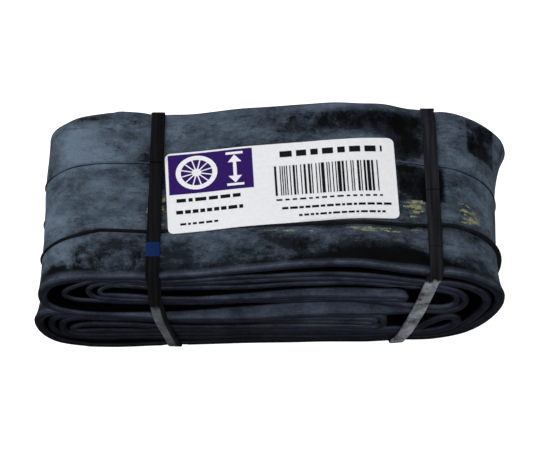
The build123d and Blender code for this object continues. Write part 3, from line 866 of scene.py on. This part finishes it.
class Nodes:
    """Short way to build a material's node tree."""

    def __init__(self, name):
        self.mat = bpy.data.materials.new(name)
        self.mat.use_nodes = True
        self.tree = self.mat.node_tree
        self.tree.nodes.clear()
        self.out = self.add("ShaderNodeOutputMaterial")
        self.bsdf = self.add("ShaderNodeBsdfPrincipled")
        self.link(self.bsdf, "BSDF", self.out, "Surface")
        self.coord = self.add("ShaderNodeTexCoord")

    def add(self, kind, **settings):
        node = self.tree.nodes.new(kind)
        for key, value in settings.items():
            setattr(node, key, value)
        return node

    def link(self, a, a_name, b, b_name):
        self.tree.links.new(a.outputs[a_name], b.inputs[b_name])

    def set(self, **values):
        for key, value in values.items():
            self.bsdf.inputs[key.replace("_", " ")].default_value = value

    def noise(self, scale, stretch=(1, 1, 1), detail=4.0, rough=0.55, shift=0.0):
        """Noise in the object's own space. scale is in lumps per metre."""
        mapping = self.add("ShaderNodeMapping")
        mapping.inputs["Scale"].default_value = stretch
        mapping.inputs["Location"].default_value = (shift, shift * 0.7, shift * 1.3)
        self.link(self.coord, "Object", mapping, "Vector")
        tex = self.add("ShaderNodeTexNoise")
        tex.inputs["Scale"].default_value = scale
        tex.inputs["Detail"].default_value = detail
        tex.inputs["Roughness"].default_value = rough
        self.link(mapping, "Vector", tex, "Vector")
        return (tex, "Fac")

    def ramp(self, source, low, high, c0=(0, 0, 0, 1), c1=(1, 1, 1, 1)):
        node = self.add("ShaderNodeValToRGB")
        node.color_ramp.elements[0].position = low
        node.color_ramp.elements[1].position = high
        node.color_ramp.elements[0].color = c0
        node.color_ramp.elements[1].color = c1
        self.link(source[0], source[1], node, "Fac")
        return (node, "Color")

    def feed(self, value, socket):
        """Link an output, given as (node, output), or set a plain number or colour."""
        if isinstance(value, tuple) and not isinstance(value[0], (int, float)):
            self.tree.links.new(value[0].outputs[value[1]], socket)
        else:
            socket.default_value = value

    def mix(self, factor, a, b, kind="MIX"):
        node = self.add("ShaderNodeMix", data_type="RGBA", blend_type=kind)
        # the sockets of a colour mix: factor 0, colours 6 and 7, result 2
        for value, k in ((factor, 0), (a, 6), (b, 7)):
            self.feed(value, node.inputs[k])
        return (node, 2)

    def math(self, op, a, b=0.5, clamp=False):
        node = self.add("ShaderNodeMath", operation=op, use_clamp=clamp)
        for k, value in enumerate((a, b)):
            self.feed(value, node.inputs[k])
        return (node, "Value")

    def times(self, a, b):
        return self.math("MULTIPLY", a, b)

    def plus(self, a, b, clamp=False):
        return self.math("ADD", a, b, clamp)

    def to(self, source, name):
        self.feed(source, self.bsdf.inputs[name])

    def bump(self, source, strength, distance):
        node = self.add("ShaderNodeBump")
        node.inputs["Strength"].default_value = strength
        node.inputs["Distance"].default_value = distance
        self.feed(source, node.inputs["Height"])
        self.link(node, "Normal", self.bsdf, "Normal")

    def position(self):
        node = self.add("ShaderNodeSeparateXYZ")
        self.link(self.coord, "Object", node, "Vector")
        return node

    def up(self):
        """How far the surface faces up, from -1 to 1."""
        geometry = self.add("ShaderNodeNewGeometry")
        node = self.add("ShaderNodeSeparateXYZ")
        self.link(geometry, "True Normal", node, "Vector")
        return (node, "Z")


# Where the talc is rubbed off down to black (above 0) or thick (below 0): x, y, half sizes in mm, amount. Two
# of the spots are painted shade, not wear: the long one along the front edge at y -25.5, where the top curves
# down, and the narrow one at x -25 beside the left band, a painted shadow of the band.
SCUFFS_AND_SHADE = [
    (22, 20, 20, 6, 0.27), (32, 13, 5.5, 9, 0.42), (25, 19.5, 10, 5, 0.16), (8, 19, 16, 5, 0.22),
    (27, -20.2, 18, 4.6, 0.45), (0, -25.5, 400, 6.0, 0.6), (30, -21, 12, 4, 0.3),
    (-42, 22, 9, 3, 0.34), (-29, 9, 4, 6, 0.26), (-25, 0, 2.5, 14, 0.3), (0, -18, 56, 6.5, 0.26),
    (-47, -21, 8, 4, 0.25), (-38, -15, 13, 6, 0.16), (44, -21, 8, 3, 0.16), (46, -16, 8, 5, 0.08),
    (14, 6, 60, 40, 0.06), (-44, 13, 8, 9, -0.36), (-50, -2, 5, 8, -0.16), (-16, -17, 7, 3, -0.14),
    (50, -4, 5, 6, -0.2), (-12, 17, 9, 5, -0.1), (43, 13, 4, 7, -0.12),
]
# Patches rubbed bare with straight edges: x, y, half sizes in mm, amount
BARE_PATCHES = [(49.4, 17.2, 3.6, 5.6, 0.36), (35.0, 1.4, 6.0, 5.4, 0.38)]
FADE_OUT = ((1, 1, 1, 1), (0, 0, 0, 1))


def rubbed_off_and_shaded(m):
    """How much talc is rubbed off, and where shade is painted: every spot adds its amount near its middle."""
    total = 0.0
    for x, y, rx, ry, amount in SCUFFS_AND_SHADE + BARE_PATCHES:
        spot = m.add("ShaderNodeMapping", vector_type="POINT")
        spot.inputs["Location"].default_value = (-x / rx, -y / ry, 0)
        spot.inputs["Scale"].default_value = (1000 / rx, 1000 / ry, 0)
        m.link(m.coord, "Object", spot, "Vector")
        if (x, y, rx, ry, amount) in SCUFFS_AND_SHADE:
            length = m.add("ShaderNodeVectorMath", operation="LENGTH")
            m.link(spot, "Vector", length, "Vector")
            near = m.ramp((length, "Value"), 0.25, 1.0, *FADE_OUT)
        else:
            sides = m.add("ShaderNodeSeparateXYZ")
            m.link(spot, "Vector", sides, "Vector")
            far = m.math("MAXIMUM", m.math("ABSOLUTE", (sides, "X")), m.math("ABSOLUTE", (sides, "Y")))
            near = m.ramp(far, 0.8, 1.0, *FADE_OUT)
        total = m.plus(m.times(near, amount), total)
    return total


def layered_side(m, patches, streaks, exposed):
    """Colour of the rims and of the rubber between layers, with painted light on the parts that face up and
    painted shade deep between the layers.
    """
    bloom = m.mix(0.6, patches, streaks)
    rims = m.mix(bloom, screen(13, 14, 20), screen(39, 42, 56))
    # painted light: the parts of the rims that face up are drawn lighter, as if lit from above
    lit_from_above = m.mix(bloom, screen(44, 49, 60), screen(104, 116, 136))
    side = m.mix(m.ramp(m.up(), 0.25, 0.95), rims, lit_from_above)
    # painted shade: near black where a point lies deep between the layers, and next to the outside rims
    side = m.mix(m.ramp(exposed, 0.35, 0.95), screen(4, 4, 6), side)
    # the lowest layers are darker
    height_up = m.plus(m.times((m.position(), "Z"), 50.0), 0.2, clamp=True)
    return m.mix(height_up, screen(6, 6, 9), side)


def talc_face(m, patches, streaks, rubbed_and_shaded, total):
    """Colour of the open faces: talc, rubbed off down to black in places, and painted shade along the front
    edge and beside the left band.
    """
    talc = m.math("SUBTRACT", m.mix(0.55, patches, streaks), m.times(total, 1.1), clamp=True)
    face = m.mix(talc, screen(30, 35, 43), screen(106, 122, 139))
    # black where the talc is rubbed off, and painted shade along the front edge and beside the left band
    face = m.mix(m.times(rubbed_and_shaded, 0.96), face, screen(4, 4, 5))
    scratch = m.ramp(m.noise(330, (0.6, 1.5, 1), 9, 0.8, 21.0), 0.56, 0.62)
    return m.mix(m.times(scratch, 0.55), face, screen(22, 24, 29))


def tube_rubber():
    """Black butyl with a bloom of talc, rubbed off in places, with painted shade between the layers and along
    the front edge, and painted light on the rims that face up.
    """
    m = Nodes("butyl_with_talc")
    patches = m.ramp(m.noise(46, (1, 1.2, 1), 9, 0.7), 0.40, 0.62)
    streaks = m.ramp(m.noise(150, (0.8, 1.3, 1.2), 10, 0.8, 3.0), 0.40, 0.62)
    grain = m.ramp(m.noise(2300, (1, 1, 1), 2, 0.5), 0.3, 0.75)
    coarse, fine = m.noise(75, (1, 1.2, 1), 10, 0.75, 7.0), m.noise(260, (1.5, 0.8, 1), 9, 0.78, 2.0)
    ragged = m.ramp(m.mix(0.45, coarse, fine), 0.36, 0.64)
    total = rubbed_off_and_shaded(m)
    rubbed_and_shaded = m.ramp(m.plus(m.times(ragged, 0.8), total), 0.60, 0.88)
    exposed = (m.add("ShaderNodeAttribute", attribute_name="exposed"), "Fac")
    # the open faces end where the rims begin
    from_middle = m.math("ABSOLUTE", (m.position(), "Y"))
    inside_rims = m.plus(m.times(from_middle, -420.0), 9.9, clamp=True)
    open_face = m.times(m.ramp(exposed, 0.8, 0.99), inside_rims)
    side, face = layered_side(m, patches, streaks, exposed), talc_face(m, patches, streaks, rubbed_and_shaded, total)
    colour = m.mix(open_face, side, face)
    speckle = m.mix(grain, screen(60, 60, 60), screen(196, 196, 196))
    m.to(m.mix(0.25, colour, speckle, "OVERLAY"), "Base Color")
    m.to(m.ramp(rubbed_and_shaded, 0.0, 1.0, (0.8, 0.8, 0.8, 1), (0.6, 0.6, 0.6, 1)), "Roughness")
    m.set(Specular_IOR_Level=0.03)
    m.bump(m.mix(0.65, grain, streaks), 0.3, 0.00016)
    return m.mat


def rib_rubber():
    m = Nodes("bare_rib")
    wear = m.ramp(m.noise(160, (0.5, 1, 1), 4, 0.6), 0.45, 0.75)
    m.to(m.mix(wear, screen(11, 11, 12), screen(30, 33, 38)), "Base Color")
    m.set(Roughness=0.55, Specular_IOR_Level=0.05)
    m.bump(m.noise(1500), 0.2, 0.0001)
    return m.mat


def band_rubber(name, front_light_below, dust_and_light_range, plain_tones, front_light_tones):
    """Flat rubber band with fine drawn lines along it, and painted light: a paler front below a height, where
    the band turns to face the front light.
    """
    m = Nodes(name)
    lines = m.ramp(m.noise(420, (4.0, 0.12, 0.12), 3, 0.6), 0.35, 0.7)
    dust_and_light_patches = m.ramp(m.noise(190, (1, 1, 1.5), 7, 0.75, 5.0), *dust_and_light_range)
    plain = m.mix(lines, *plain_tones)
    painted_front_light = m.mix(dust_and_light_patches, *front_light_tones)
    where = m.position()
    # painted light: the side facing the front is drawn paler below this height, where the band slants towards
    # the front light, with a ragged start
    front = m.math("LESS_THAN", (where, "Y"), -0.0232)
    below = m.plus(m.times((where, "Z"), -900.0), 900 * front_light_below)
    below = m.plus(below, m.times(m.math("SUBTRACT", dust_and_light_patches, 0.5), 1.2), clamp=True)
    painted_light_mask = m.times(front, below)
    if name == "band_plain":
        # painted shade: its right-hand side turns away from the light and stays black
        beside = m.plus(m.times((where, "X"), 1000.0), m.times((where, "Z"), 203.0))
        lit = m.ramp(m.plus(beside, 22.3), 0.35, 0.75, *FADE_OUT)
        painted_light_mask = m.times(painted_light_mask, lit)
    colour = m.mix(m.times(painted_light_mask, 0.92), plain, painted_front_light)
    if name == "band_plain":
        # a dab of blue paint on top, near the front
        dab_start = m.math("LESS_THAN", (where, "Y"), -0.0140)
        dab = m.times(dab_start, m.math("GREATER_THAN", (where, "Y"), -0.0180))
        edge = m.ramp(m.noise(700, (1, 1, 1), 4, 0.7, 2.0), 0.28, 0.42)
        colour = m.mix(m.times(dab, edge), colour, screen(14, 38, 84))
    m.to(colour, "Base Color")
    m.set(Roughness=0.66, Specular_IOR_Level=0.04)
    m.bump(m.mix(0.5, lines, dust_and_light_patches), 0.35, 0.00012)
    return m.mat


def mottled(name, colour, darkest, *lumps):
    """A material whose colour goes down to a share of itself in lumps."""
    m = Nodes(name)
    spots = m.ramp(m.noise(*lumps), 0.3, 0.7)
    m.to(m.mix(spots, tuple(c * darkest for c in colour[:3]) + (1.0,), colour), "Base Color")
    return m, spots


def paper(name, colour):
    m, fibre = mottled(name, colour, 0.93, 900, (1, 1, 1), 4, 0.6)
    m.set(Roughness=0.6, Specular_IOR_Level=0.05)
    m.bump(fibre, 0.12, 0.00005)
    return m.mat


def worn_yellow():
    m = Nodes("worn_yellow_paint")
    left = m.ramp(m.noise(760, (0.6, 1, 1), 7, 0.8, 4.0), 0.42, 0.56)
    m.set(Base_Color=screen(150, 152, 112), Roughness=0.8)
    m.to(m.times(left, 0.8), "Alpha")
    return m.mat


def metal(name, colour, rough):
    m, turned = mottled(name, colour, 0.8, 900, (6, 0.4, 0.4), 3, 0.6)
    m.set(Metallic=1.0)
    m.to(m.ramp(turned, 0, 1, (rough,) * 3 + (1,), (rough + 0.14,) * 3 + (1,)), "Roughness")
    m.bump(turned, 0.15, 0.00005)
    return m.mat


def plain_rubber(name, colour, rough):
    m, _ = mottled(name, colour, 0.65, 300, (1, 1, 1), 5, 0.6)
    m.set(Roughness=rough, Specular_IOR_Level=0.3)
    m.bump(m.noise(1500), 0.15, 0.00008)
    return m.mat


def give(obj, mat):
    obj.data.materials.clear()
    obj.data.materials.append(mat)


rubber = tube_rubber()
give(tube, rubber)
bare = rib_rubber()
for obj in rib_objects:
    give(obj, rubber if obj.name.startswith("rib_back") else bare)
bands = {
    "band_left": band_rubber("band_plain", 0.0206, (0.30, 0.66), (screen(3, 3, 4), screen(20, 20, 23)),
                             (screen(34, 35, 38), screen(104, 106, 111))),
    "band_right": band_rubber("band_dusty_lit_front", 0.0296, (0.38, 0.62), (screen(14, 14, 17), screen(40, 41, 46)),
                              (screen(48, 50, 53), screen(150, 155, 160))),
}
for name, pieces in band_objects.items():
    for obj in pieces:
        give(obj, bands[name])
give(label, paper("label_paper_white", screen(241, 243, 245)))
give(purple, paper("ink_purple", screen(46, 18, 98)))
give(symbol, paper("ink_white", screen(244, 244, 247)))
give(black_print, paper("ink_black", screen(16, 15, 18)))
yellow = worn_yellow()
for obj in worn_marks:
    give(obj, yellow)
valve_looks = {
    "valve_base_pad": plain_rubber("pad_rubber_black", screen(26, 27, 30), 0.7),
    "valve_rubber": plain_rubber("sleeve_rubber_red", screen(150, 58, 48), 0.6),
    "valve_stem": metal("nickel_stem", screen(196, 194, 188), 0.22),
    "rim_nut": metal("nickel_rim_nut", screen(202, 200, 194), 0.26),
    "top_nut": metal("nickel_top_nut", screen(202, 200, 194), 0.24),
    "plunger": metal("brass_plunger", screen(196, 164, 96), 0.25),
    "dust_cap": plain_rubber("cap_plastic_black", screen(24, 24, 25), 0.45),
}
for node, mat in valve_looks.items():
    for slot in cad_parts[node].material_slots:
        slot.material = mat

# ---- what each piece stands for
for obj in [tube] + rib_objects + worn_marks:
    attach(obj, "tube")
    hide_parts("tube_body")
for name, pieces in band_objects.items():
    for obj in pieces:
        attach(obj, "tube")
        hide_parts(name)
for obj in [label] + print_objects:
    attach(obj, "tube")
    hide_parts("size_label")

# ---- floor, light and camera
FLOOR_HALF = 3000
corners = [(x * FLOOR_HALF, y * FLOOR_HALF, 0) for x, y in ((-1, -1), (1, -1), (1, 1), (-1, 1))]
floor = mesh_object("floor", corners, [(0, 1, 2, 3)], smooth=False)


def white_floor():
    """Bright white to the eye, but not a strong lamp under the object."""
    m = Nodes("white_floor")
    m.set(Base_Color=(0.5, 0.5, 0.5, 1), Roughness=0.9, Specular_IOR_Level=0.0, Emission_Color=(1, 1, 1, 1))
    ray = m.add("ShaderNodeLightPath")
    glow = m.add("ShaderNodeMapRange")
    glow.inputs["To Min"].default_value = 0.1
    m.link(ray, "Is Camera Ray", glow, "Value")
    m.to((glow, "Result"), "Emission Strength")
    return m.mat


give(floor, white_floor())


def area_light(name, place_at, size, power):
    data = bpy.data.lights.new(name, "AREA")
    data.shape = "RECTANGLE"
    data.size, data.size_y = size
    data.energy = power
    obj = place(name, data)
    obj.location = place_at
    obj.rotation_euler = (Vector((0, 0, 0.02)) - Vector(place_at)).to_track_quat("-Z", "Y").to_euler()


area_light("softbox_back", (-0.25, 0.75, 0.85), (0.9, 0.5), 8.2)
area_light("softbox_front", (0.15, -0.95, 0.55), (0.7, 0.35), 5.2)
area_light("softbox_left", (-0.8, -0.25, 0.35), (0.4, 0.5), 3.2)
area_light("softbox_right", (0.85, -0.15, 0.35), (0.4, 0.5), 1.5)

world = bpy.data.worlds.new("studio")
bpy.context.scene.world = world
world.use_nodes = True
world.node_tree.nodes["Background"].inputs["Color"].default_value = (0.95, 0.97, 1.0, 1)
world.node_tree.nodes["Background"].inputs["Strength"].default_value = 0.12

camera_data = bpy.data.cameras.new("camera")
camera = place("camera", camera_data)
AIM = Vector((-0.0002, 0.0076, 0.0060))
FAR = 1.0
TILT = math.radians(55)
VIEW_WIDE, SENSOR = 0.1292, 36.0
camera.location = AIM + Vector((0, -math.cos(TILT), math.sin(TILT))) * FAR
camera.rotation_euler = (AIM - camera.location).to_track_quat("-Z", "Y").to_euler()
camera_data.sensor_width = SENSOR
camera_data.lens = SENSOR * FAR / VIEW_WIDE
camera_data.clip_end = 20
bpy.context.scene.camera = camera
bpy.context.scene.view_settings.view_transform = "Standard"
